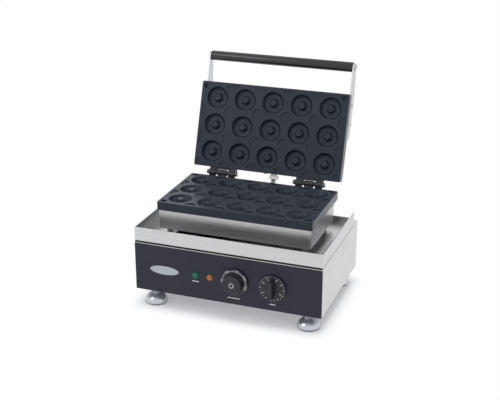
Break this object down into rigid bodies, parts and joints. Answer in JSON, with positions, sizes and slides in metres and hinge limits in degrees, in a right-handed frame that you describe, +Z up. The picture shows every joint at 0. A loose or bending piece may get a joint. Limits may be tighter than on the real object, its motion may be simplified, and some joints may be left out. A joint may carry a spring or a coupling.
{
  "type": "donut maker",
  "caption": "Bench-top donut maker: hinged lid and base carry facing plates with ring moulds, over a drip tray and a steel base with dials, lamps and bell feet.",
  "frame": {"origin": "on the floor, under the middle of the whole machine with its lid open", "axes": "+X to the right seen from the front, +Y to the back, +Z up"},
  "size_m": [0.41, 0.3752, 0.4794],
  "materials": {
    "stainless": "brushed",
    "fascia_black": "satin powder coat",
    "nonstick": "satin dark non-stick coat on cast aluminium",
    "bright_steel": "polished",
    "fastener": "zinc plated",
    "black_plastic": "glossy",
    "inner_plastic": "moulded",
    "rubber": "matt",
    "wool": "mineral wool",
    "element": "heat-stained tube",
    "hinge_steel": "dark coat",
    "conduit": "ribbed hose",
    "gland": "nickel plated",
    "green_lens": "clear moulding",
    "amber_lens": "clear moulding"
  },
  "bodies": {
    "base": {"base_shell": "stainless", "front_panel": "stainless", "control_fascia": "fascia_black", "bottom_plate": "stainless", "bottom_screws": "fastener", "tray_gasket": "rubber", "tray": "stainless", "lower_housing": "stainless", "housing_standoffs": "fastener", "housing_bolts": "fastener", "housing_nuts": "fastener", "lower_plate": "nonstick", "lower_heater": "element", "lower_heater_clamps": "fastener", "lower_insulation": "wool", "lower_plate_screws": "fastener", "hinge_base_leaf_left": "hinge_steel", "hinge_base_leaf_right": "hinge_steel", "hinge_pins": "bright_steel", "hinge_pin_nuts": "bright_steel", "hinge_base_screws": "fastener", "wiring_conduit": "conduit", "conduit_gland_housing": "gland", "thermostat_body": "inner_plastic", "timer_body": "inner_plastic", "power_lamp": "green_lens", "heating_lamp": "amber_lens", "lamp_holders": "inner_plastic", "terminal_block": "inner_plastic", "cable_gland": "black_plastic", "foot_studs": "fastener", "foot_stud_nuts": "fastener"},
    "lid": {"lid_cover": "stainless", "upper_plate": "nonstick", "upper_heater": "element", "upper_heater_clamps": "fastener", "upper_insulation": "wool", "upper_plate_screws": "fastener", "handle_arm_left": "stainless", "handle_arm_right": "stainless", "handle_grip": "black_plastic", "handle_rod": "bright_steel", "handle_cap_nuts": "bright_steel", "arm_screws": "fastener", "conduit_gland_lid": "gland", "hinge_lid_leaf_left": "hinge_steel", "hinge_lid_leaf_right": "hinge_steel", "hinge_lid_screws": "fastener"},
    "temperature_dial": {"temperature_knob": "black_plastic", "thermostat_shaft": "fastener"},
    "timer_dial": {"timer_knob": "black_plastic", "timer_shaft": "fastener"},
    "foot_front_left": {"foot_front_left": "bright_steel", "foot_pad_front_left": "rubber"},
    "foot_front_right": {"foot_front_right": "bright_steel", "foot_pad_front_right": "rubber"},
    "foot_rear_left": {"foot_rear_left": "bright_steel", "foot_pad_rear_left": "rubber"},
    "foot_rear_right": {"foot_rear_right": "bright_steel", "foot_pad_rear_right": "rubber"}
  },
  "joints": [
    {"name": "lid_hinge", "type": "hinge", "parent": "base", "child": "lid", "pos_m": [0, 0.07299, 0.2293], "axis": [1, 0, 0], "range_deg": [0, 109], "deforming": ["wiring_conduit"]},
    {"name": "temperature_turn", "type": "hinge", "parent": "base", "child": "temperature_dial", "pos_m": [0.019, -0.16661, 0.0885], "axis": [0, 1, 0], "range_deg": [0, 270]},
    {"name": "timer_turn", "type": "hinge", "parent": "base", "child": "timer_dial", "pos_m": [0.101, -0.16661, 0.0885], "axis": [0, 1, 0], "range_deg": [0, 300]},
    {"name": "foot_screw_front_left", "type": "hinge", "parent": "base", "child": "foot_front_left", "pos_m": [-0.1707, -0.14021, 0.02], "axis": [0, 0, 1], "continuous": true},
    {"name": "foot_screw_front_right", "type": "hinge", "parent": "base", "child": "foot_front_right", "pos_m": [0.1707, -0.14021, 0.02], "axis": [0, 0, 1], "continuous": true},
    {"name": "foot_screw_rear_left", "type": "hinge", "parent": "base", "child": "foot_rear_left", "pos_m": [-0.1707, 0.07809, 0.02], "axis": [0, 0, 1], "continuous": true},
    {"name": "foot_screw_rear_right", "type": "hinge", "parent": "base", "child": "foot_rear_right", "pos_m": [0.1707, 0.07809, 0.02], "axis": [0, 0, 1], "continuous": true}
  ]
}
